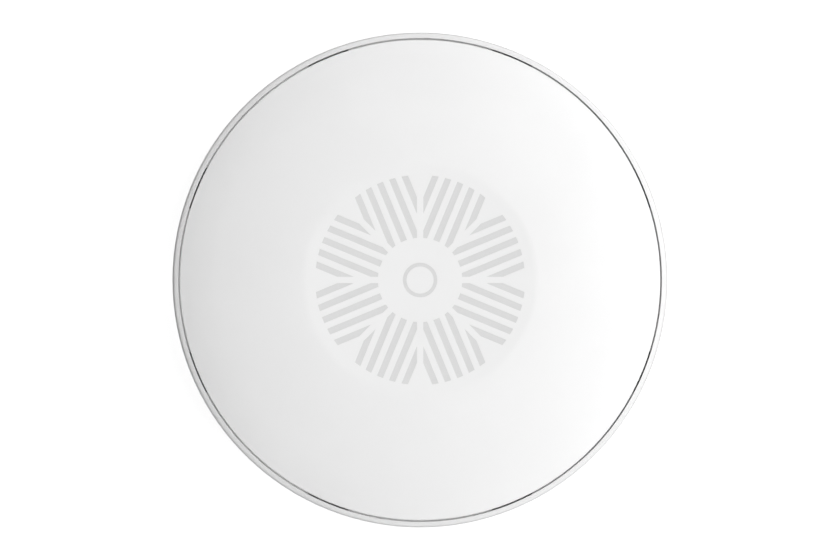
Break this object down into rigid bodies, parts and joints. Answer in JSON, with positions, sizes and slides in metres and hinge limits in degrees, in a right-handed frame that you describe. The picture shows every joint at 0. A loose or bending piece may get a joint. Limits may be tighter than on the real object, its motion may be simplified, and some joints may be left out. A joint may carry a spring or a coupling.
{
  "type": "ceiling access point",
  "caption": "Round white wireless access point with a gently domed cover, striped centre and twist-lock ceiling bracket.",
  "frame": {"origin": "centre of the mounting bracket's ceiling face, which is also the centre of its screw pattern", "axes": "+Z points out of the front of the unit, away from the ceiling; the network jack faces -Y"},
  "size_m": [0.18, 0.18, 0.037],
  "materials": {
    "cover_plastic": "fine spark-eroded satin",
    "stripe_print": "matt print, flush with the cover",
    "housing_plastic": "fine spark-eroded satin",
    "bracket_plastic": "moulded satin",
    "foot_rubber": "matt",
    "label_film": "plain polyester film",
    "board_laminate": "solder mask",
    "screw_steel": "nickel plated",
    "sink_aluminium": "extruded, clear anodised",
    "thermal_pad": "soft silicone",
    "chip_epoxy": "moulded epoxy",
    "shield_tin": "tin plated",
    "lead_tin": "tin plated",
    "ferrite": "ground ferrite",
    "winding_tape": "polyester tape",
    "bobbin_plastic": "moulded phenolic",
    "capacitor_can": "drawn",
    "ceramic": "fired ceramic",
    "resistor_glaze": "glazed",
    "crystal_can": "plated lid",
    "header_plastic": "moulded",
    "gold_contact": "gold plated",
    "jack_plastic": "moulded",
    "clear_plastic": "clear moulded light guide",
    "switch_plastic": "moulded",
    "button_plastic": "moulded",
    "antenna_laminate": "solder mask",
    "antenna_copper": "etched copper",
    "lead_jacket": "extruded fluoropolymer",
    "led_package": "moulded, phosphor filled",
    "gasket_foam": "closed-cell foam"
  },
  "bodies": {
    "bracket": {"mounting_bracket": "bracket_plastic"},
    "access_point": {"front_cover": "cover_plastic", "stripe_inlay": "stripe_print", "side_ring": "housing_plastic", "back_plate": "housing_plastic", "board_carrier": "housing_plastic", "cable_tray": "housing_plastic", "housing_screws": "screw_steel", "rubber_feet": "foot_rubber", "rating_label": "label_film", "main_board": "board_laminate", "board_screws": "screw_steel", "heat_sink": "sink_aluminium", "heat_sink_pad": "thermal_pad", "processor": "chip_epoxy", "processor_pad": "thermal_pad", "processor_shield": "shield_tin", "memory_chip": "chip_epoxy", "flash_chip": "chip_epoxy", "radio_chips_2g": "chip_epoxy", "radio_chips_5g": "chip_epoxy", "radio_shield_2g": "shield_tin", "radio_shield_5g": "shield_tin", "lan_transformer": "chip_epoxy", "power_chips": "chip_epoxy", "chip_leads": "lead_tin", "poe_transformer_core": "ferrite", "poe_transformer_winding": "winding_tape", "poe_transformer_bobbin": "bobbin_plastic", "capacitor_cans": "capacitor_can", "capacitor_bases": "bobbin_plastic", "power_inductors": "ferrite", "small_capacitors": "ceramic", "small_resistors": "resistor_glaze", "crystals": "crystal_can", "debug_header": "header_plastic", "header_pins": "gold_contact", "jack_shield": "shield_tin", "jack_body": "jack_plastic", "jack_insert": "jack_plastic", "jack_contacts": "gold_contact", "jack_light_pipes": "clear_plastic", "reset_switch": "switch_plastic", "antenna_copper": "antenna_copper", "antenna_sockets": "gold_contact", "antenna_plugs": "gold_contact", "antenna_lead_2g_upper": "lead_jacket", "antenna_lead_2g_lower": "lead_jacket", "antenna_lead_5g_upper": "lead_jacket", "antenna_lead_5g_lower": "lead_jacket", "lead_clips": "header_plastic", "status_led": "led_package", "light_pipe": "clear_plastic", "light_gasket": "gasket_foam", "antenna_2g_upper": "antenna_laminate", "antenna_2g_lower": "antenna_laminate", "antenna_5g_upper": "antenna_laminate", "antenna_5g_lower": "antenna_laminate"},
    "reset_key": {"reset_button": "button_plastic", "reset_plunger": "switch_plastic"}
  },
  "joints": [
    {"name": "bracket_twist", "type": "hinge", "parent": "bracket", "child": "access_point", "pos_m": [0, 0, 0], "axis": [0, 0, 1], "range_deg": [0, 24]},
    {"name": "reset_press", "type": "slide", "parent": "access_point", "child": "reset_key", "axis": [0, 1, 0], "range_m": [0, 0.0003], "stiffness_N_per_m": 1500, "springref_m": -0.0003}
  ]
}
